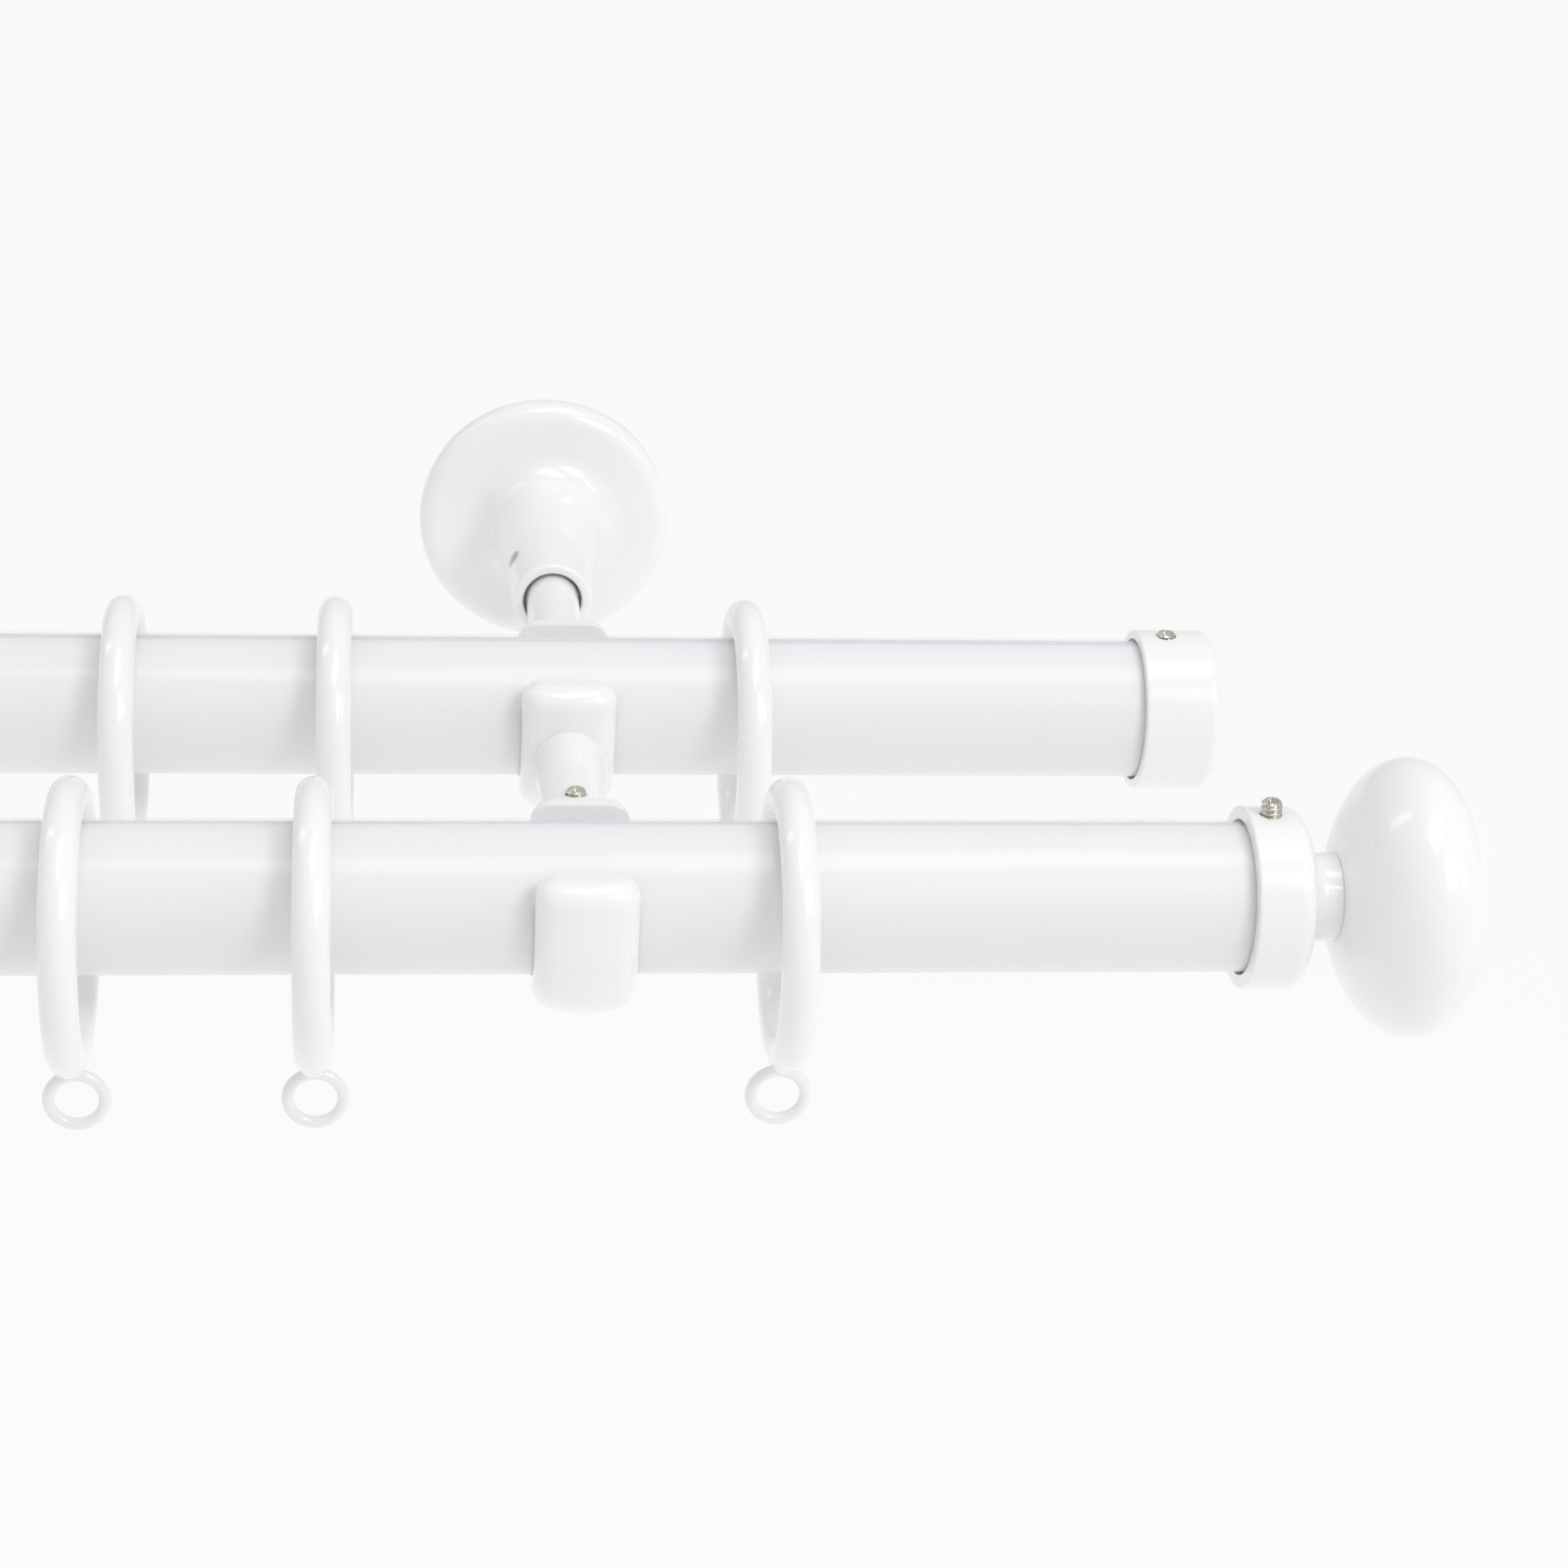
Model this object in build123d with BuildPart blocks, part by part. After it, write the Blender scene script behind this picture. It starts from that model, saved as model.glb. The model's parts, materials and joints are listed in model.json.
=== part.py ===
from build123d import *
import os
from math import cos, radians, sin

# Double curtain rod set: two wall brackets carry a back rod with end caps and a front rod
# with knob finials, and curtain rings with eyelets hang on both rods.
# Frame: the wall is the plane Y = 0 and the room lies towards -Y, X runs along the rods and
# Z is up. The origin is on the wall, midway between the brackets, level with the front rod.

# Rods, in millimetres
ROD_LENGTH = 1000.0
ROD_RADIUS = 14.0
ROD_WALL = 1.0
BRACKET_X = 370.0
BACK_Y = -118.0
BACK_Z = 3.3
FRONT_Y = -198.0
FRONT_Z = 0.0
SIDES = {"left": -1, "right": 1}

# Clear glide strip along the top of each rod
STRIP_THICKNESS = 0.5
STRIP_HALF_ANGLE = 17.0
BACK_STRIP_TILT = 19.0
FRONT_STRIP_TILT = 26.0
GLUE_GAP = 0.05

# Wall plate, hidden in the rose
PLATE_RADIUS = 25.0
PLATE_THICKNESS = 3.0
PLATE_SCREW_OFFSET = 17.0
PLATE_SCREW_RADIUS = 2.5
PLATE_COUNTERSINK_RADIUS = 4.4
PLATE_CHAMFER = 0.6
SPIGOT_RADIUS = 8.0
SPIGOT_END = 10.0
SPIGOT_END_GAP = 0.4

# Rose: round cover with a hollow conical boss that guides the arm
ROSE_RADIUS = 29.0
ROSE_THICKNESS = 5.0
ROSE_EDGE_ROUND = 4.0
ROSE_SLOPE = 0.6
ROSE_CAVITY_RADIUS = 26.0
ROSE_CAVITY_DEPTH = 3.4
BOSS_LENGTH = 53.0
BOSS_ROOT_RADIUS = 12.6
BOSS_ROOT_ROUND = 7.0
BOSS_MOUTH_RADIUS = 8.6
MOUTH_OUTER_ROUND = 0.9
MOUTH_INNER_ROUND = 0.7
MOUTH_BORE_RADIUS = 6.45
MOUTH_BORE_DEPTH = 5.0
BOSS_SCREW_DEPTH = 39.5
BOSS_SCREW_ANGLE = 60.0
BOSS_SCREW_TIP = 5.85
RUNNING_GAP = 0.05

# Holders: the arm's stem, the U-shaped cradles and the socket between them
REAR_STEM_RADIUS = 5.75
REAR_STEM_END_Y = -18.0
REAR_STEM_CHAMFER = 0.6
FRONT_STEM_RADIUS = 4.5
FRONT_STEM_LENGTH = 32.0
FRONT_STEM_CHAMFER = 0.5
SOCKET_ROOT_RADIUS = 7.05
SOCKET_MOUTH_RADIUS = 6.3
SOCKET_LENGTH = 33.5
SOCKET_BORE_DEPTH = 33.0
SOCKET_MOUTH_CHAMFER = 0.5
SOCKET_SCREW_FROM_MOUTH = 6.4
SOCKET_SCREW_TIP = 4.6
CRADLE_WIDTH = 18.8
CRADLE_REACH = 21.2
CRADLE_BULGE = 1.8
CRADLE_EDGE_ROUND = 4.8
CRADLE_TOP = 11.9
CRADLE_LIP_ROUND = 4.2
CRADLE_GAP = 0.3

# Grub screws: short ones everywhere but in the finials
SCREW_RADIUS = 2.0
SCREW_HOLE_RADIUS = 2.05
SHORT_SCREW_LENGTH = 2.6
LONG_SCREW_LENGTH = 5.4
HEX_ACROSS_FLATS = 2.0
HEX_DEPTH = 1.4
SCREW_CHAMFER = 0.25

# End caps and finials, measured along X from the bracket's centre
CAP_BORE_RADIUS = 14.65
CAP_START = 117.4
CAP_LENGTH = 15.4
CAP_RADIUS = 16.5
CAP_END_WALL = 2.0
CAP_END_ROUND = 2.0
CAP_RIM_ROUND = 0.5
CAP_SCREW_X = 123.2
COLLAR_START = 122.8
COLLAR_RADIUS = 17.2
COLLAR_CYLINDER = 8.2
COLLAR_BORE_DEPTH = 8.4
SHOULDER_RADIUS = 13.6
SHOULDER_LENGTH = 3.2
NECK_RADIUS = 8.4
NECK_START = 13.4
NECK_ROUND = 2.4
FINIAL_SCREW_X = 127.2
SCREW_TIP_RADIUS = 14.55
KNOB_RADIUS = 26.5
KNOB_HALF_THICKNESS = 14.9
KNOB_CENTRE_X = 155.1
KNOB_SEAT_X = 140.95
SEAT_GAP = 0.05
STUD_RADIUS = 3.0
STUD_START_X = 133.6
STUD_END_X = 150.6
STUD_CHAMFER = 0.5

# Rings, placed along X from the bracket's centre, and their eyelets
FRONT_RING_OFFSETS = (-93.0, -49.0, 38.0)
BACK_RING_OFFSETS = (-88.7, -46.5, 36.8)
RING_INNER_RADIUS = 20.6
RING_SECTION_RADIUS = 3.45
RING_HANG_GAP = 0.3
EYELET_RADIUS = 5.2
EYELET_WIRE_RADIUS = 1.15
EYELET_DROP = 36.1
SHANK_RADIUS = 1.3
SHANK_DEPTH = 3.4
SHANK_END_GAP = 0.2

ring_major_radius = RING_INNER_RADIUS + RING_SECTION_RADIUS
ring_drop = RING_INNER_RADIUS - ROD_RADIUS - STRIP_THICKNESS - RING_HANG_GAP
ring_outer_radius = ring_major_radius + RING_SECTION_RADIUS
cradle_radius = ROD_RADIUS + CRADLE_GAP
wall_middle = (CRADLE_REACH + cradle_radius) / 2
socket_mouth_y = BACK_Y - CRADLE_REACH - SOCKET_LENGTH


def save(builder, label):
    """Label the finished piece and write it as its own STEP file."""
    builder.part.label = label
    export_step(builder.part, f"parts/{label}.step")


def off_wall_plane(x, distance=0.0, z=0.0):
    """Plane parallel to the wall whose normal points into the room, with its Y axis up."""
    return Plane(origin=(x, -distance, z), x_dir=(1, 0, 0), z_dir=(0, -1, 0))


def turned_plane(x, y, z, side):
    """Plane for profiles turned about a rod's axis: X is outwards along the rod, Y is up."""
    return Plane(origin=(x, y, z), x_dir=(side, 0, 0), z_dir=(0, -side, 0))


def across_rod_plane(x, y, z):
    """Plane square to a rod, looking along +X, with its X axis towards the wall and its Y up."""
    return Plane(origin=(x, y, z), x_dir=(0, 1, 0), z_dir=(1, 0, 0))


def make_wall_plate(name, x):
    """Steel disc screwed to the wall, with a spigot that the rose screws onto."""
    with BuildPart() as plate:
        with BuildSketch(off_wall_plane(x)):
            Circle(PLATE_RADIUS)
        extrude(amount=PLATE_THICKNESS)
        with BuildSketch(off_wall_plane(x, PLATE_THICKNESS)):
            Circle(SPIGOT_RADIUS)
        extrude(amount=SPIGOT_END - PLATE_THICKNESS)
        chamfer(plate.edges().group_by(Axis.Y)[0], length=PLATE_CHAMFER)
        with Locations(off_wall_plane(x, PLATE_THICKNESS)):
            with Locations((0, PLATE_SCREW_OFFSET), (0, -PLATE_SCREW_OFFSET)):
                CounterSinkHole(PLATE_SCREW_RADIUS, PLATE_COUNTERSINK_RADIUS, counter_sink_angle=90)
    save(plate, name)


def make_rose(name, x):
    """Round cover over the wall plate, turned in one with the boss that the arm slides in."""
    mouth_floor = BOSS_LENGTH - MOUTH_BORE_DEPTH
    guide_radius = REAR_STEM_RADIUS + RUNNING_GAP
    spigot_bore = SPIGOT_RADIUS + RUNNING_GAP
    spigot_floor = SPIGOT_END + SPIGOT_END_GAP
    outline = [
        (ROSE_CAVITY_RADIUS, 0),
        (ROSE_RADIUS, 0),
        (ROSE_RADIUS, ROSE_THICKNESS),
        (BOSS_ROOT_RADIUS, ROSE_THICKNESS + ROSE_SLOPE),
        (BOSS_MOUTH_RADIUS, BOSS_LENGTH),
        (MOUTH_BORE_RADIUS, BOSS_LENGTH),
        (MOUTH_BORE_RADIUS, mouth_floor),
        (guide_radius, mouth_floor),
        (guide_radius, spigot_floor),
        (spigot_bore, spigot_floor),
        (spigot_bore, ROSE_CAVITY_DEPTH),
        (ROSE_CAVITY_RADIUS, ROSE_CAVITY_DEPTH),
    ]
    rounds = {2: ROSE_EDGE_ROUND, 3: BOSS_ROOT_ROUND, 4: MOUTH_OUTER_ROUND, 5: MOUTH_INNER_ROUND}
    with BuildPart() as rose:
        with BuildSketch(Plane(origin=(x, 0, 0), x_dir=(1, 0, 0), z_dir=(0, 0, -1))) as profile:
            with BuildLine():
                Polyline(*outline, close=True)
            make_face()
            for corner, radius in rounds.items():
                fillet(profile.vertices().sort_by_distance(outline[corner])[0], radius)
        revolve(axis=Axis((x, 0, 0), (0, 1, 0)))
        with BuildSketch(boss_screw_plane(x)):
            Circle(SCREW_HOLE_RADIUS)
        extrude(amount=BOSS_ROOT_RADIUS, mode=Mode.SUBTRACT)
    save(rose, name)


def boss_screw_plane(x):
    """Plane through the boss's axis whose normal points up and to the left, along its grub screw."""
    angle = radians(BOSS_SCREW_ANGLE)
    return Plane(origin=(x, -BOSS_SCREW_DEPTH, 0), x_dir=(0, 1, 0), z_dir=(-sin(angle), 0, cos(angle)))


def make_grub_screw(name, tip_plane, length):
    """Headless screw with chamfered ends and a hexagon socket; its tip lies on tip_plane."""
    with BuildPart() as screw:
        with BuildSketch(tip_plane):
            Circle(SCREW_RADIUS)
        extrude(amount=length)
        chamfer(screw.edges().filter_by(GeomType.CIRCLE), length=SCREW_CHAMFER)
        with BuildSketch(tip_plane.offset(length)):
            RegularPolygon(HEX_ACROSS_FLATS / 2, 6, major_radius=False)
        extrude(amount=-HEX_DEPTH, mode=Mode.SUBTRACT)
    save(screw, name)


def cradle_block(x, y, z):
    """U-shaped block that a rod drops into: bowed faces, rounded lips and a barrel-shaped foot."""
    half = CRADLE_WIDTH / 2
    face_y = CRADLE_REACH - CRADLE_BULGE
    with BuildPart() as block:
        with BuildSketch(Plane(origin=(x, y, z))) as plan:
            with BuildLine():
                Line((-half, -face_y), (-half, face_y))
                ThreePointArc((-half, face_y), (0, CRADLE_REACH), (half, face_y))
                Line((half, face_y), (half, -face_y))
                ThreePointArc((half, -face_y), (0, -CRADLE_REACH), (-half, -face_y))
            make_face()
            fillet(plan.vertices(), CRADLE_EDGE_ROUND)
        extrude(amount=CRADLE_TOP)
        fillet(block.faces().sort_by(Axis.Z)[-1].edges(), CRADLE_LIP_ROUND)
        with BuildSketch(Plane(origin=(x, y, z))):
            add(plan.sketch_local)
            with Locations((0, -CRADLE_REACH / 2)):
                Rectangle(CRADLE_WIDTH, CRADLE_REACH, mode=Mode.INTERSECT)
        revolve(axis=Axis((x, y, z), (1, 0, 0)), revolution_arc=180)
        with BuildSketch(across_rod_plane(x - half, y, z)):
            Circle(cradle_radius)
            with Locations((0, CRADLE_TOP / 2)):
                Rectangle(2 * cradle_radius, CRADLE_TOP)
        extrude(amount=CRADLE_WIDTH, mode=Mode.SUBTRACT)
    return block.part


def towards_wall_plane(x, y):
    """Plane parallel to the wall whose normal points at the wall."""
    return Plane(origin=(x, y, 0), x_dir=(-1, 0, 0), z_dir=(0, 1, 0))


def make_rear_holder(name, x):
    """Arm that slides in the boss: stem, cradle for the back rod and socket for the front arm."""
    stem_root = BACK_Y + wall_middle
    socket_root = BACK_Y - wall_middle
    cradle = cradle_block(x, BACK_Y, BACK_Z)
    with BuildPart() as holder:
        add(cradle)
        with BuildSketch(towards_wall_plane(x, stem_root)):
            Circle(REAR_STEM_RADIUS)
        extrude(amount=REAR_STEM_END_Y - stem_root)
        with BuildSketch(towards_wall_plane(x, socket_mouth_y)) as mouth:
            Circle(SOCKET_MOUTH_RADIUS)
        with BuildSketch(towards_wall_plane(x, socket_root)) as root:
            Circle(SOCKET_ROOT_RADIUS)
        loft(sections=[mouth.sketch, root.sketch])
        chamfer(holder.faces().sort_by(Axis.Y)[-1].edges(), length=REAR_STEM_CHAMFER)
        chamfer(holder.faces().sort_by(Axis.Y)[0].edges(), length=SOCKET_MOUTH_CHAMFER)
        with BuildSketch(towards_wall_plane(x, socket_mouth_y)):
            Circle(FRONT_STEM_RADIUS + RUNNING_GAP)
        extrude(amount=SOCKET_BORE_DEPTH, mode=Mode.SUBTRACT)
        with BuildSketch(Plane(origin=(x, socket_mouth_y + SOCKET_SCREW_FROM_MOUTH, 0))):
            Circle(SCREW_HOLE_RADIUS)
        extrude(amount=SOCKET_ROOT_RADIUS, mode=Mode.SUBTRACT)
    save(holder, name)


def make_front_holder(name, x):
    """Cradle for the front rod, on a stem that slides in the rear holder's socket."""
    stem_root = FRONT_Y + wall_middle
    cradle = cradle_block(x, FRONT_Y, FRONT_Z)
    with BuildPart() as holder:
        add(cradle)
        with BuildSketch(towards_wall_plane(x, stem_root)):
            Circle(FRONT_STEM_RADIUS)
        extrude(amount=CRADLE_REACH - wall_middle + FRONT_STEM_LENGTH)
        chamfer(holder.faces().sort_by(Axis.Y)[-1].edges(), length=FRONT_STEM_CHAMFER)
    save(holder, name)


def make_rod(name, y, z):
    """Steel tube along X."""
    with BuildPart() as rod:
        with BuildSketch(across_rod_plane(-ROD_LENGTH / 2, y, z)):
            Circle(ROD_RADIUS)
            Circle(ROD_RADIUS - ROD_WALL, mode=Mode.SUBTRACT)
        extrude(amount=ROD_LENGTH)
    save(rod, name)


def make_glide_strip(name, y, z, tilt):
    """Clear strip stuck along the rod's top, turned towards the wall by tilt degrees."""
    outer = ROD_RADIUS + STRIP_THICKNESS
    reach = 2 * outer
    edges = [radians(tilt - STRIP_HALF_ANGLE), radians(tilt + STRIP_HALF_ANGLE)]
    with BuildPart() as strip:
        with BuildSketch(across_rod_plane(-ROD_LENGTH / 2, y, z)):
            Circle(outer)
            Circle(ROD_RADIUS + GLUE_GAP, mode=Mode.SUBTRACT)
            with BuildLine():
                Polyline((0, 0), *[(reach * sin(a), reach * cos(a)) for a in edges], close=True)
            make_face(mode=Mode.INTERSECT)
        extrude(amount=ROD_LENGTH)
    save(strip, name)


def make_end_cap(name, side):
    """Cap over the back rod's end, open towards the rod, with a tapped hole on top."""
    rim_x = side * (BRACKET_X + CAP_START)
    screw_x = side * (BRACKET_X + CAP_SCREW_X)
    with BuildPart() as cap:
        with BuildSketch(turned_plane(rim_x, BACK_Y, BACK_Z, side)):
            with BuildLine():
                FilletPolyline(
                    (0, CAP_BORE_RADIUS),
                    (0, CAP_RADIUS),
                    (CAP_LENGTH, CAP_RADIUS),
                    (CAP_LENGTH, 0),
                    radius=[CAP_RIM_ROUND, CAP_END_ROUND],
                )
                Polyline(
                    (CAP_LENGTH, 0),
                    (CAP_LENGTH - CAP_END_WALL, 0),
                    (CAP_LENGTH - CAP_END_WALL, CAP_BORE_RADIUS),
                    (0, CAP_BORE_RADIUS),
                )
            make_face()
        revolve(axis=Axis((rim_x, BACK_Y, BACK_Z), (1, 0, 0)))
        with BuildSketch(Plane(origin=(screw_x, BACK_Y, BACK_Z + ROD_RADIUS))):
            Circle(SCREW_HOLE_RADIUS)
        extrude(amount=CAP_RADIUS, mode=Mode.SUBTRACT)
    save(cap, name)


def make_finial_collar(name, side):
    """Collar over the front rod's end: a cylinder, a domed shoulder and a neck for the knob."""
    rim_x = side * (BRACKET_X + COLLAR_START)
    screw_x = side * (BRACKET_X + FINIAL_SCREW_X)
    neck_end = KNOB_SEAT_X - SEAT_GAP - COLLAR_START
    shoulder_end = COLLAR_CYLINDER + SHOULDER_LENGTH
    stud_hole_start = STUD_START_X - SEAT_GAP - COLLAR_START
    stud_hole = STUD_RADIUS + RUNNING_GAP
    with BuildPart() as collar:
        with BuildSketch(turned_plane(rim_x, FRONT_Y, FRONT_Z, side)):
            with BuildLine():
                FilletPolyline(
                    (0, CAP_BORE_RADIUS),
                    (0, COLLAR_RADIUS),
                    (COLLAR_CYLINDER, COLLAR_RADIUS),
                    radius=CAP_RIM_ROUND,
                )
                dome = [(COLLAR_CYLINDER, COLLAR_RADIUS), (shoulder_end, SHOULDER_RADIUS)]
                TangentArc(*dome, tangent=(1, 0))
                FilletPolyline(
                    (shoulder_end, SHOULDER_RADIUS),
                    (NECK_START, NECK_RADIUS),
                    (neck_end, NECK_RADIUS),
                    radius=NECK_ROUND,
                )
                Polyline(
                    (neck_end, NECK_RADIUS),
                    (neck_end, stud_hole),
                    (stud_hole_start, stud_hole),
                    (stud_hole_start, 0),
                    (COLLAR_BORE_DEPTH, 0),
                    (COLLAR_BORE_DEPTH, CAP_BORE_RADIUS),
                    (0, CAP_BORE_RADIUS),
                )
            make_face()
        revolve(axis=Axis((rim_x, FRONT_Y, FRONT_Z), (1, 0, 0)))
        with BuildSketch(Plane(origin=(screw_x, FRONT_Y, FRONT_Z + ROD_RADIUS))):
            Circle(SCREW_HOLE_RADIUS)
        extrude(amount=COLLAR_RADIUS, mode=Mode.SUBTRACT)
    save(collar, name)


def make_finial_knob(name, side):
    """Flattened ball that screws onto the stud, with a flat seat towards the collar's neck."""
    centre_x = side * (BRACKET_X + KNOB_CENTRE_X)
    seat = KNOB_SEAT_X - KNOB_CENTRE_X
    hole_end = STUD_END_X + SEAT_GAP - KNOB_CENTRE_X
    stud_hole = STUD_RADIUS + RUNNING_GAP
    profile_plane = turned_plane(centre_x, FRONT_Y, FRONT_Z, side)
    beyond = 2 * KNOB_RADIUS
    with BuildPart() as knob:
        with BuildSketch(profile_plane):
            Ellipse(KNOB_HALF_THICKNESS, KNOB_RADIUS)
            with BuildLine():
                Polyline((seat, 0), (seat, beyond), (beyond, beyond), (beyond, 0), close=True)
            make_face(mode=Mode.INTERSECT)
        revolve(axis=Axis((centre_x, FRONT_Y, FRONT_Z), (1, 0, 0)))
        with BuildSketch(across_rod_plane(centre_x + side * seat, FRONT_Y, FRONT_Z)):
            Circle(stud_hole)
        extrude(amount=side * (hole_end - seat), mode=Mode.SUBTRACT)
    save(knob, name)


def make_finial_stud(name, side):
    """Threaded pin that joins the knob to the collar."""
    with BuildPart() as stud:
        with BuildSketch(across_rod_plane(side * (BRACKET_X + STUD_START_X), FRONT_Y, FRONT_Z)):
            Circle(STUD_RADIUS)
        extrude(amount=side * (STUD_END_X - STUD_START_X))
        chamfer(stud.edges().filter_by(GeomType.CIRCLE), length=STUD_CHAMFER)
    save(stud, name)


def make_ring(name, x, y, z):
    """Round ring hanging on a rod, with a hole in its lowest point for the eyelet's shank."""
    hole_top = z - ring_outer_radius + SHANK_DEPTH + SHANK_END_GAP
    with BuildPart() as ring:
        with Locations((x, y, z)):
            Torus(ring_major_radius, RING_SECTION_RADIUS, rotation=(0, 90, 0))
        with BuildSketch(Plane(origin=(x, y, hole_top))):
            Circle(SHANK_RADIUS + RUNNING_GAP)
        extrude(amount=-2 * RING_SECTION_RADIUS, mode=Mode.SUBTRACT)
    save(ring, name)


def make_eyelet(name, x, y, z):
    """Wire eye facing the room, on a shank that screws into the ring centred at height z."""
    eye_z = z - EYELET_DROP
    shank_top = z - ring_outer_radius + SHANK_DEPTH
    with BuildPart() as eyelet:
        with Locations((x, y, eye_z)):
            Torus(EYELET_RADIUS, EYELET_WIRE_RADIUS, rotation=(90, 0, 0))
        with BuildSketch(Plane(origin=(x, y, eye_z + EYELET_RADIUS))):
            Circle(SHANK_RADIUS)
        extrude(amount=shank_top - eye_z - EYELET_RADIUS)
    save(eyelet, name)


def make_bracket(side_name, side):
    """The pieces of one wall bracket; both brackets are the same."""
    x = side * BRACKET_X
    socket_screw_y = socket_mouth_y + SOCKET_SCREW_FROM_MOUTH
    make_wall_plate(f"wall_plate_{side_name}", x)
    make_rose(f"rose_{side_name}", x)
    make_grub_screw(f"rose_screw_{side_name}", boss_screw_plane(x).offset(BOSS_SCREW_TIP), SHORT_SCREW_LENGTH)
    make_rear_holder(f"rear_holder_{side_name}", x)
    socket_tip = Plane(origin=(x, socket_screw_y, SOCKET_SCREW_TIP))
    make_grub_screw(f"socket_screw_{side_name}", socket_tip, SHORT_SCREW_LENGTH)
    make_front_holder(f"front_holder_{side_name}", x)


def make_rod_ends(side_name, side):
    """The end cap of the back rod and the finial of the front rod, each with its grub screw."""
    cap_tip = Plane(origin=(side * (BRACKET_X + CAP_SCREW_X), BACK_Y, BACK_Z + SCREW_TIP_RADIUS))
    finial_tip = Plane(origin=(side * (BRACKET_X + FINIAL_SCREW_X), FRONT_Y, FRONT_Z + SCREW_TIP_RADIUS))
    make_end_cap(f"end_cap_{side_name}", side)
    make_grub_screw(f"end_cap_screw_{side_name}", cap_tip, SHORT_SCREW_LENGTH)
    make_finial_collar(f"finial_collar_{side_name}", side)
    make_grub_screw(f"finial_screw_{side_name}", finial_tip, LONG_SCREW_LENGTH)
    make_finial_knob(f"finial_knob_{side_name}", side)
    make_finial_stud(f"finial_stud_{side_name}", side)


def make_rings(rod_name, y, rod_z, offsets, side_name, side):
    """Rings one to three of a rod's side: two inside the bracket and one outside it."""
    for number, offset in enumerate(offsets, start=1):
        x = side * (BRACKET_X + offset)
        make_ring(f"{rod_name}_ring_{side_name}_{number}", x, y, rod_z - ring_drop)
        make_eyelet(f"{rod_name}_eyelet_{side_name}_{number}", x, y, rod_z - ring_drop)


os.makedirs("parts", exist_ok=True)
make_rod("back_rod", BACK_Y, BACK_Z)
make_rod("front_rod", FRONT_Y, FRONT_Z)
make_glide_strip("back_glide_strip", BACK_Y, BACK_Z, BACK_STRIP_TILT)
make_glide_strip("front_glide_strip", FRONT_Y, FRONT_Z, FRONT_STRIP_TILT)
for side_name, side in SIDES.items():
    make_bracket(side_name, side)
    make_rod_ends(side_name, side)
    make_rings("front", FRONT_Y, FRONT_Z, FRONT_RING_OFFSETS, side_name, side)
    make_rings("back", BACK_Y, BACK_Z, BACK_RING_OFFSETS, side_name, side)
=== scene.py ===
import json
from math import cos, pi, radians, sin, tau

import bmesh
import bpy
from mathutils import Matrix, Vector


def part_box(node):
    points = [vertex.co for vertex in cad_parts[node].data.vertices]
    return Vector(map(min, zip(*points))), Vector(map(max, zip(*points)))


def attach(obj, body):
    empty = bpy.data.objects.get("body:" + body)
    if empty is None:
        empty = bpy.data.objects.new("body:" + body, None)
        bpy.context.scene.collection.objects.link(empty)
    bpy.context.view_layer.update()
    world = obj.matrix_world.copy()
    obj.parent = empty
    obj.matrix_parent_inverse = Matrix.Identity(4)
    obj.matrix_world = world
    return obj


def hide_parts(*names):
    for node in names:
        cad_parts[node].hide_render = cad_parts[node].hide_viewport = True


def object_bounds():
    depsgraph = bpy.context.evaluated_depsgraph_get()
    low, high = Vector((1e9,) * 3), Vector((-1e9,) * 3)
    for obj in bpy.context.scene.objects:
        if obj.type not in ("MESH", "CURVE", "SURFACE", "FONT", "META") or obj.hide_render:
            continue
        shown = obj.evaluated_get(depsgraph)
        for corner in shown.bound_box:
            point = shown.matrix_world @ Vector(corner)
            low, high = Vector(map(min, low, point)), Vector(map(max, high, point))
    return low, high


# Double curtain rod set in gloss white enamel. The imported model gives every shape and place;
# this script gives it its finishes, cuts real threads on the screws, and sets up the studio.
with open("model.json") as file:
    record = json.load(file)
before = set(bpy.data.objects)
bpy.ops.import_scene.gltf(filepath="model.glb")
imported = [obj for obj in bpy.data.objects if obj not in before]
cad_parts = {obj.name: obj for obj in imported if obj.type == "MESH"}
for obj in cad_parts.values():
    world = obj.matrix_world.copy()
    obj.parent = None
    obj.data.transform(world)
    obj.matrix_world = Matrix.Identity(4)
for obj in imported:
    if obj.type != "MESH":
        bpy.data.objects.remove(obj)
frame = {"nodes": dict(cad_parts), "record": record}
cad_low, cad_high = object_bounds()
MM = 0.001

# Threads: a coarse pitch on the grub screws and on the finial's stud.
SCREW_PITCH = 1.0 * MM
SCREW_THREAD_DEPTH = 0.45 * MM
STUD_PITCH = 1.0 * MM
STUD_THREAD_DEPTH = 0.55 * MM
CHAMFER_IN_DEPTHS = 0.9
THREAD_SIDES = 48
THREAD_ROWS_PER_PITCH = 12

# Hexagon sockets of the grub screws, which end in a drill point.
HEX_ACROSS_FLATS = 2.0 * MM
HEX_DEPTH = 1.4 * MM
HEX_LEAD_IN = 0.12 * MM
DRILL_RADIUS = 0.8 * MM
DRILL_POINT_DEPTH = 0.25 * MM

# The boss's screw leans over by this much from upright.
BOSS_SCREW_ANGLE = radians(60)

# The camera stands in front of the right bracket, a little to its left and above the rods.
CAMERA_LEFT_OF_BRACKET = 0.0335
CAMERA_FROM_FRONT_ROD = 0.5713
CAMERA_ABOVE_FRONT_ROD = 0.2887
CAMERA_PITCH = radians(24.773)
CAMERA_YAW = radians(6.937)
CAMERA_ROLL = radians(3.061)
CAMERA_SENSOR = 36.0
CAMERA_LENS = 79.97
CAMERA_CLIP_END = 50.0

FLOOR_DROP = 1.1
FLOOR_SIZE = 40.0
FLOOR_SEGMENTS = 8
SURROUNDINGS_COLOUR = (0.985, 0.99, 1.0, 1)
SURROUNDINGS_STRENGTH = 0.68

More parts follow.
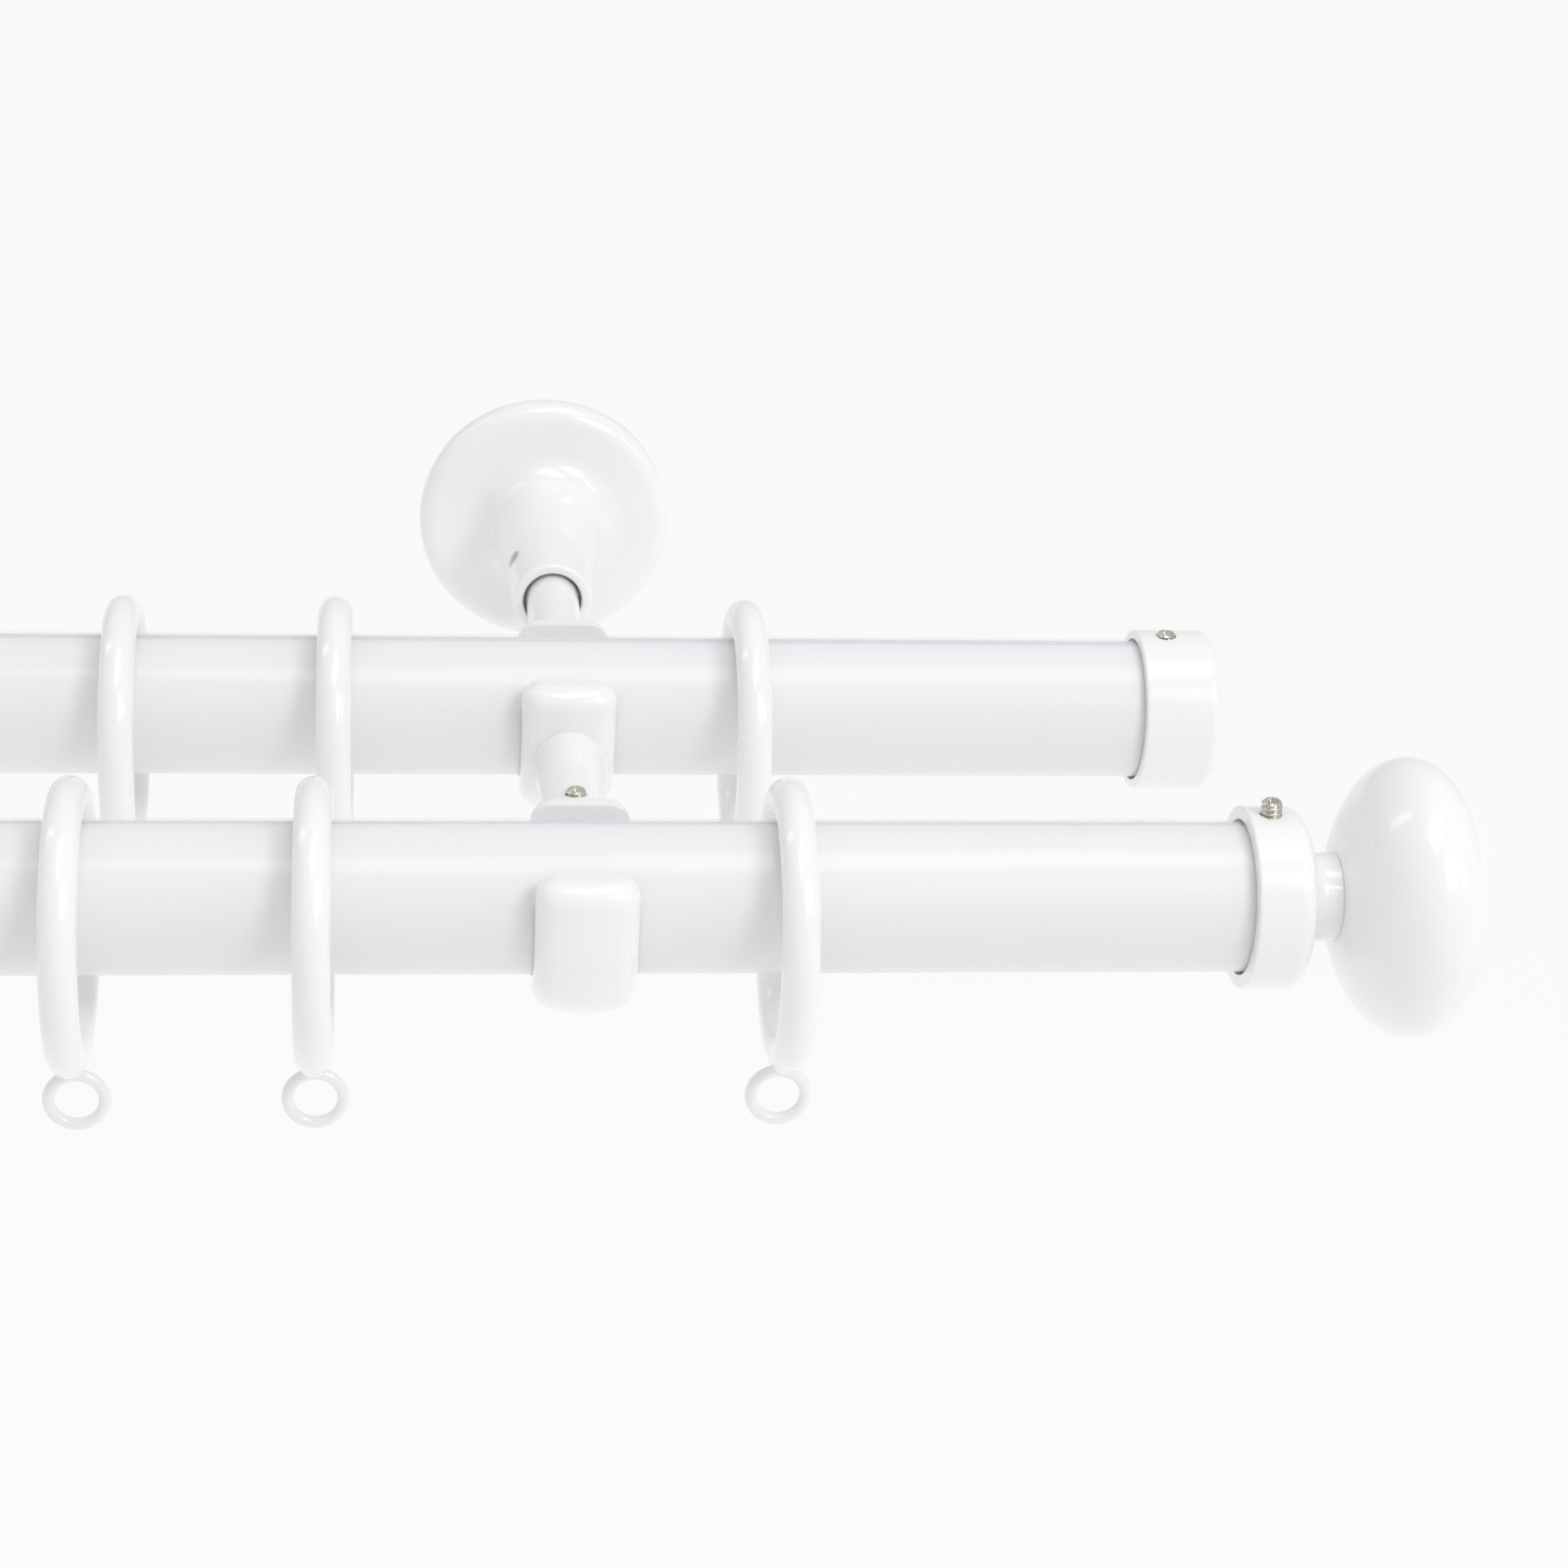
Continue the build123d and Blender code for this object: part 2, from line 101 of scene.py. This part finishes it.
# Softboxes: name, (x from the right bracket, y, z), (width, height), power in watts.
SOFTBOXES = [
    ("key", (0.9, -1.2, 1.12), (0.55, 0.55), 7.8),
    ("top", (0.2, -0.42, 1.5), (1.0, 0.6), 4.2),
    ("right", (1.7, -0.8, 0.88), (0.2, 0.6), 1.2),
    ("left_rear", (-1.3, 0.5, 1.35), (0.22, 1.1), 1.6),
]


def box_centre(node):
    """Middle of a CAD node's box at rest."""
    low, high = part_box(node)
    return (Vector(low) + Vector(high)) / 2


def box_size(node):
    """Size of a CAD node's box at rest."""
    low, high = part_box(node)
    return Vector(high) - Vector(low)


# ---------------------------------------------------------------- materials


class Nodes:
    """A material's node tree, with a short way to add nodes and join them."""

    def __init__(self, name):
        self.material = bpy.data.materials.new(name)
        self.material.use_nodes = True
        self.tree = self.material.node_tree
        self.shader = self.tree.nodes["Principled BSDF"]
        self.place = self.add("ShaderNodeTexCoord").outputs["Object"]

    def add(self, kind, inputs=None, **settings):
        """Add a node, with values or outputs for its inputs and settings for the node itself."""
        node = self.tree.nodes.new(kind)
        for name, value in settings.items():
            setattr(node, name, value)
        for name, value in (inputs or {}).items():
            self.give(node.inputs[name], value)
        return node

    def give(self, socket, value):
        """Join an output to the socket, or set the socket to a plain value."""
        if isinstance(value, bpy.types.NodeSocket):
            self.tree.links.new(value, socket)
        else:
            socket.default_value = value

    def noise(self, wavelength, detail=2.0, roughness=0.5, stretch=None):
        """Noise between 0 and 1 whose features are about one wavelength wide, in metres."""
        place = self.place
        if stretch is not None:
            mapping = self.add("ShaderNodeMapping", {"Vector": place, "Scale": stretch})
            place = mapping.outputs["Vector"]
        settings = {
            "Vector": place,
            "Scale": 1 / wavelength,
            "Detail": detail,
            "Roughness": roughness,
        }
        return self.add("ShaderNodeTexNoise", settings).outputs["Fac"]

    def spread(self, value, low, high, to_low=0.0, to_high=1.0):
        """Map value from low..high to to_low..to_high, clamped."""
        settings = {
            "Value": value,
            "From Min": low,
            "From Max": high,
            "To Min": to_low,
            "To Max": to_high,
        }
        return self.add("ShaderNodeMapRange", settings).outputs["Result"]

    def mix(self, share, first, second):
        """Mix two colours: share 0 gives the first, 1 the second."""
        node = self.add("ShaderNodeMix", data_type="RGBA")
        self.give(node.inputs["Factor"], share)
        self.give(node.inputs[6], first)
        self.give(node.inputs[7], second)
        return node.outputs[2]

    def maths(self, operation, first, second):
        node = self.add("ShaderNodeMath", operation=operation)
        self.give(node.inputs[0], first)
        self.give(node.inputs[1], second)
        return node.outputs[0]

    def bump(self, height, depth, strength=1.0, under=None):
        """Normal for a bumpy surface of the given depth in metres, on top of another normal."""
        inputs = {"Height": height, "Distance": depth, "Strength": strength}
        if under is not None:
            inputs["Normal"] = under
        return self.add("ShaderNodeBump", inputs).outputs["Normal"]

    def set(self, **inputs):
        """Set the main shader's inputs; underscores in the names stand for spaces."""
        for name, value in inputs.items():
            self.give(self.shader.inputs[name.replace("_", " ")], value)


def specks(n, cell, radius, share):
    """Mask of sparse round specks: a share of the cells holds a speck of about the radius."""
    cells = n.add("ShaderNodeTexVoronoi", {"Vector": n.place, "Scale": 1 / cell})
    near = n.spread(cells.outputs["Distance"], radius / cell, 1.6 * radius / cell, 1.0, 0.0)
    colour = n.add("ShaderNodeSeparateColor", {"Color": cells.outputs["Color"]}).outputs["Red"]
    chosen = n.maths("LESS_THAN", colour, share)
    return n.maths("MULTIPLY", near, chosen)


def edge_wear(n, radius):
    """Mask of sharp edges, where paint is thinnest, broken up by noise."""
    rounded = n.add("ShaderNodeBevel", {"Radius": radius}, samples=4).outputs["Normal"]
    true = n.add("ShaderNodeNewGeometry").outputs["Normal"]
    dot = n.add("ShaderNodeVectorMath", operation="DOT_PRODUCT")
    n.give(dot.inputs[0], rounded)
    n.give(dot.inputs[1], true)
    turned = n.spread(dot.outputs["Value"], 0.995, 0.86)
    return n.maths("MULTIPLY", turned, n.spread(n.noise(2.4 * MM, 3.0), 0.38, 0.62))


def white_enamel():
    """Baked gloss enamel: a faint orange peel, slight drift in tone, dust specks, thin edges."""
    n = Nodes("white_enamel_finish")
    tone = n.spread(n.noise(38 * MM, 3.0), 0.35, 0.65)
    colour = n.mix(tone, (0.9, 0.9, 0.892, 1), (0.876, 0.88, 0.88, 1))
    worn = n.maths("MULTIPLY", edge_wear(n, 0.25 * MM), 0.25)
    colour = n.mix(worn, colour, (0.74, 0.735, 0.72, 1))
    dust = n.maths("MULTIPLY", specks(n, 13 * MM, 0.13 * MM, 0.3), 0.5)
    colour = n.mix(dust, colour, (0.42, 0.41, 0.39, 1))
    peel = n.bump(n.noise(2.6 * MM, 1.5), 0.05 * MM, 0.35)
    fine = n.bump(n.noise(0.6 * MM, 1.0), 0.004 * MM, 0.3, peel)
    rough = n.spread(n.noise(11 * MM, 4.0, 0.6), 0.3, 0.7, 0.17, 0.25)
    n.set(Base_Color=colour, Roughness=rough, Normal=fine, IOR=1.52)
    n.set(Coat_Weight=0.6, Coat_Roughness=0.07, Coat_IOR=1.5)
    return n.material


def rod_enamel():
    """The rods' coat: a little duller and cooler, with faint lines drawn along the tube."""
    n = Nodes("rod_enamel_finish")
    drawn = n.noise(1.6 * MM, 2.0, 0.5, stretch=(0.02, 1.0, 1.0))
    tone = n.spread(n.noise(60 * MM, 2.0), 0.35, 0.65)
    colour = n.mix(tone, (0.838, 0.838, 0.85, 1), (0.824, 0.825, 0.837, 1))
    colour = n.mix(n.spread(drawn, 0.55, 0.8, 0.0, 0.12), colour, (0.82, 0.822, 0.835, 1))
    dust = n.maths("MULTIPLY", specks(n, 17 * MM, 0.12 * MM, 0.3), 0.4)
    colour = n.mix(dust, colour, (0.45, 0.44, 0.42, 1))
    long_wave = n.bump(drawn, 0.012 * MM, 0.3)
    peel = n.bump(n.noise(2.2 * MM, 1.5), 0.02 * MM, 0.3, long_wave)
    rough = n.spread(n.noise(14 * MM, 3.0, 0.5, stretch=(0.15, 1.0, 1.0)), 0.3, 0.7, 0.3, 0.4)
    n.set(Base_Color=colour, Roughness=rough, Normal=peel, IOR=1.5)
    n.set(Coat_Weight=0.35, Coat_Roughness=0.07, Coat_IOR=1.5, Specular_IOR_Level=0.3)
    return n.material


def clear_strip():
    """Soft clear vinyl on the enamel: clear face on, milky where its outside is seen edge on."""
    n = Nodes("clear_strip_finish")
    ridges = n.bump(n.noise(0.9 * MM, 1.0, 0.5, stretch=(0.01, 1.0, 1.0)), 0.008 * MM, 0.3)
    rough = n.spread(n.noise(6 * MM, 3.0), 0.35, 0.7, 0.08, 0.2)
    n.set(Base_Color=(0.86, 0.87, 0.885, 1), Roughness=rough, Normal=ridges, IOR=1.46)
    clear = n.add("ShaderNodeBsdfTransparent", {"Color": (0.975, 0.98, 0.985, 1)})
    grazing = n.add("ShaderNodeFresnel", {"IOR": 1.4, "Normal": ridges}).outputs["Fac"]
    milky = n.spread(grazing, 0.02, 0.6, 0.06, 0.5)
    inside = n.add("ShaderNodeNewGeometry").outputs["Backfacing"]
    share = n.maths("MULTIPLY", milky, n.maths("SUBTRACT", 1.0, inside))
    parts = {0: share, 1: clear.outputs["BSDF"], 2: n.shader.outputs["BSDF"]}
    blend = n.add("ShaderNodeMixShader", parts)
    n.give(n.tree.nodes["Material Output"].inputs["Surface"], blend.outputs["Shader"])
    return n.material


def nickel():
    """Plated steel of the screws and studs: warm grey, uneven, with fine pits."""
    n = Nodes("nickel_finish")
    stain = n.spread(n.noise(0.8 * MM, 3.0, 0.6), 0.35, 0.7)
    colour = n.mix(stain, (0.74, 0.71, 0.64, 1), (0.5, 0.46, 0.39, 1))
    rough = n.spread(n.noise(0.4 * MM, 2.0), 0.3, 0.7, 0.14, 0.28)
    normal = n.bump(n.noise(0.12 * MM, 2.0), 0.004 * MM, 0.5)
    n.set(Base_Color=colour, Metallic=1.0, Roughness=rough, Normal=normal)
    return n.material


def zinc_plate():
    """Bright zinc plate of the hidden wall plates: bluish, with faint grain and dull patches."""
    n = Nodes("zinc_plate_finish")
    patches = n.spread(n.noise(7 * MM, 4.0, 0.6), 0.35, 0.65)
    colour = n.mix(patches, (0.68, 0.70, 0.73, 1), (0.60, 0.60, 0.58, 1))
    rough = n.spread(n.noise(3 * MM, 3.0), 0.3, 0.7, 0.28, 0.45)
    grain = n.bump(n.noise(0.5 * MM, 2.0, 0.5, stretch=(1.0, 1.0, 0.08)), 0.01 * MM, 0.4)
    n.set(Base_Color=colour, Metallic=1.0, Roughness=rough, Normal=grain)
    return n.material


def floor_finish():
    """Plain pale studio floor, very slightly mottled and lit from inside like a light table.

    The light it gives off falls slowly behind the set, and fades out well in front of it.
    """
    n = Nodes("floor_finish")
    tone = n.spread(n.noise(0.9, 3.0), 0.3, 0.7)
    n.set(Base_Color=n.mix(tone, (0.3, 0.3, 0.3, 1), (0.29, 0.29, 0.29, 1)), Roughness=0.9)
    n.set(Specular_IOR_Level=0.0)
    depth = n.add("ShaderNodeSeparateXYZ", {"Vector": n.place}).outputs["Y"]
    behind = n.spread(depth, -0.2, 1.0, 0.84, 0.742)
    in_front = n.spread(depth, -2.6, -0.6, 0.72, 1.0)
    glow = n.maths("MULTIPLY", behind, in_front)
    n.set(Emission_Color=(1, 1, 1, 1), Emission_Strength=glow)
    return n.material


finishes = {
    "white_enamel": white_enamel(),
    "rod_enamel": rod_enamel(),
    "clear_strip": clear_strip(),
    "nickel": nickel(),
    "zinc_plate": zinc_plate(),
}


def finish_cad_nodes():
    """Give every CAD node the finish of its slot in the record."""
    slots = {part["node"]: part["material_slot"] for part in frame["record"]["subparts"]}
    for name, node in frame["nodes"].items():
        for material_slot in node.material_slots:
            material_slot.material = finishes[slots[name]]


finish_cad_nodes()

# ---------------------------------------------------------------- threaded pieces


def thread_radius(turn, height, length, radius, pitch, depth):
    """Radius of a right-hand thread at a height and a turn (0 to 1), chamfered at both ends."""
    phase = (height / pitch - turn) % 1.0
    ridge = 1.0 - abs(2.0 * phase - 1.0)
    flat_topped = min(max(1.35 * ridge - 0.1, 0.0), 1.0)
    from_end = min(height, length - height)
    cone = radius - CHAMFER_IN_DEPTHS * depth + max(from_end, 0.0)
    return min(radius - depth * (1.0 - flat_topped), cone)


def hexagon_radius(turn):
    """Distance from the centre to a side of the hexagon socket at a turn (0 to 1)."""
    sixth = (turn * 6.0 + 0.5) % 1.0 - 0.5
    return HEX_ACROSS_FLATS / 2 / cos(sixth * tau / 6)


def ring(height, radius_at):
    """A ring of points at a height, whose radius depends on the turn."""
    turns = [i / THREAD_SIDES for i in range(THREAD_SIDES)]
    return [(radius_at(t) * cos(t * tau), radius_at(t) * sin(t * tau), height) for t in turns]


def add_rows(mesh, rows):
    """Join rings of vertices, one after the other, with quads."""
    made = [[mesh.verts.new(co) for co in row] for row in rows]
    sides = len(made[0])
    for lower, upper in zip(made, made[1:]):
        for i in range(sides):
            k = (i + 1) % sides
            mesh.faces.new((lower[i], lower[k], upper[k], upper[i]))
    return made[0], made[-1]


def close_end(mesh, end_ring, height):
    """Close a ring with a fan to a point on the axis."""
    tip = mesh.verts.new((0, 0, height))
    for i, vertex in enumerate(end_ring):
        mesh.faces.new((vertex, end_ring[(i + 1) % len(end_ring)], tip))


def threaded_rod(name, length, radius, pitch, depth, socket):
    """Mesh of a threaded rod from z = 0 up to its length, with a hexagon socket if asked for."""
    count = max(2, round(length / pitch * THREAD_ROWS_PER_PITCH))
    rows = []
    for j in range(count + 1):
        height = length * j / count
        rows.append(ring(height, lambda t: thread_radius(t, height, length, radius, pitch, depth)))
    end_height = length
    if socket:
        socket_floor = length - HEX_DEPTH
        rows.append(ring(length, lambda t: hexagon_radius(t) + HEX_LEAD_IN))
        rows.append(ring(length - HEX_LEAD_IN, hexagon_radius))
        rows.append(ring(socket_floor, hexagon_radius))
        rows.append(ring(socket_floor - HEX_LEAD_IN, lambda t: DRILL_RADIUS))
        end_height = socket_floor - HEX_LEAD_IN - DRILL_POINT_DEPTH
    mesh = bmesh.new()
    first, last = add_rows(mesh, rows)
    close_end(mesh, first, 0.0)
    close_end(mesh, last, end_height)
    bmesh.ops.recalc_face_normals(mesh, faces=mesh.faces)
    data = bpy.data.meshes.new(name)
    mesh.to_mesh(data)
    mesh.free()
    data.shade_smooth()
    piece = bpy.data.objects.new(name, data)
    bpy.context.scene.collection.objects.link(piece)
    return piece


def body_of_node(node):
    """Name of the body that a CAD node belongs to."""
    for name, nodes in frame["record"]["behaviour"]["bodies"].items():
        if node in nodes:
            return name
    raise KeyError(node)


def stand_in(piece, node, foot, direction):
    """Put a threaded piece with its foot at a point, along a direction, for its CAD node."""
    turn = Vector((0, 0, 1)).rotation_difference(Vector(direction))
    piece.data.transform(Matrix.Translation(foot) @ turn.to_matrix().to_4x4())
    piece.data.materials.append(finishes["nickel"])
    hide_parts(node)
    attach(piece, body_of_node(node))


def grub_screw(node, length, radius, direction):
    """A grub screw along a direction, in the middle of its CAD node's box."""
    name = f"{node}_threaded"
    piece = threaded_rod(name, length, radius, SCREW_PITCH, SCREW_THREAD_DEPTH, True)
    stand_in(piece, node, box_centre(node) - direction * length / 2, direction)


def upright_screw(node):
    """A grub screw that points straight up: its box gives its length and radius."""
    size = box_size(node)
    grub_screw(node, size.z, size.x / 2, Vector((0, 0, 1)))


def boss_screw(node):
    """The grub screw in the rose's boss, as long as the socket's, which points up and left."""
    length = box_size("socket_screw_right").z
    direction = Vector((-sin(BOSS_SCREW_ANGLE), 0, cos(BOSS_SCREW_ANGLE)))
    grub_screw(node, length, box_size(node).y / 2, direction)


def lying_stud(node, side):
    """The finial's threaded stud, which lies along the rod."""
    size = box_size(node)
    name = f"{node}_threaded"
    foot = box_centre(node) - Vector((side * size.x / 2, 0, 0))
    piece = threaded_rod(name, size.x, size.z / 2, STUD_PITCH, STUD_THREAD_DEPTH, False)
    stand_in(piece, node, foot, (side, 0, 0))


for side_name, side in {"left": -1, "right": 1}.items():
    upright_screw(f"end_cap_screw_{side_name}")
    upright_screw(f"finial_screw_{side_name}")
    upright_screw(f"socket_screw_{side_name}")
    boss_screw(f"rose_screw_{side_name}")
    lying_stud(f"finial_stud_{side_name}", side)

# ---------------------------------------------------------------- studio


def make_camera():
    """Camera at the angle the set is seen from: turned right, tilted down, slightly rolled."""
    bracket = box_centre("front_holder_right")
    rod = box_centre("front_rod")
    data = bpy.data.cameras.new("camera")
    data.sensor_width = CAMERA_SENSOR
    data.lens = CAMERA_LENS
    data.clip_end = CAMERA_CLIP_END
    camera = bpy.data.objects.new("camera", data)
    camera.location = (
        bracket.x - CAMERA_LEFT_OF_BRACKET,
        rod.y - CAMERA_FROM_FRONT_ROD,
        rod.z + CAMERA_ABOVE_FRONT_ROD,
    )
    aim = Matrix.Rotation(-CAMERA_YAW, 4, "Z") @ Matrix.Rotation(pi / 2 - CAMERA_PITCH, 4, "X")
    camera.rotation_euler = (aim @ Matrix.Rotation(CAMERA_ROLL, 4, "Z")).to_euler()
    bpy.context.scene.collection.objects.link(camera)
    bpy.context.scene.camera = camera


def make_floor():
    """A pale floor well below the set, as under a rod on a wall."""
    mesh = bmesh.new()
    segments = {"x_segments": FLOOR_SEGMENTS, "y_segments": FLOOR_SEGMENTS}
    bmesh.ops.create_grid(mesh, size=FLOOR_SIZE / 2, **segments)
    data = bpy.data.meshes.new("floor")
    mesh.to_mesh(data)
    mesh.free()
    floor = bpy.data.objects.new("floor", data)
    floor.location = (0, 0, cad_low.z - FLOOR_DROP)
    data.materials.append(floor_finish())
    bpy.context.scene.collection.objects.link(floor)


def make_surroundings():
    """Even pale surroundings, as inside a light tent."""
    world = bpy.data.worlds.new("light_tent")
    world.use_nodes = True
    background = world.node_tree.nodes["Background"]
    background.inputs["Color"].default_value = SURROUNDINGS_COLOUR
    background.inputs["Strength"].default_value = SURROUNDINGS_STRENGTH
    bpy.context.scene.world = world


def make_softbox(name, place, target, size, power):
    """Rectangular studio light at a place, facing a target."""
    data = bpy.data.lights.new(name, "AREA")
    data.shape = "RECTANGLE"
    data.size, data.size_y = size
    data.energy = power
    light = bpy.data.objects.new(name, data)
    light.location = place
    light.rotation_euler = (target - place).to_track_quat("-Z", "Y").to_euler()
    bpy.context.scene.collection.objects.link(light)


make_camera()
make_floor()
make_surroundings()
bracket_x = box_centre("front_holder_right").x
aim_point = Vector((bracket_x, box_centre("front_rod").y, 0))
for name, (from_bracket, y, z), size, power in SOFTBOXES:
    make_softbox(name, Vector((bracket_x + from_bracket, y, z)), aim_point, size, power)
bpy.context.scene.view_settings.view_transform = "Standard"
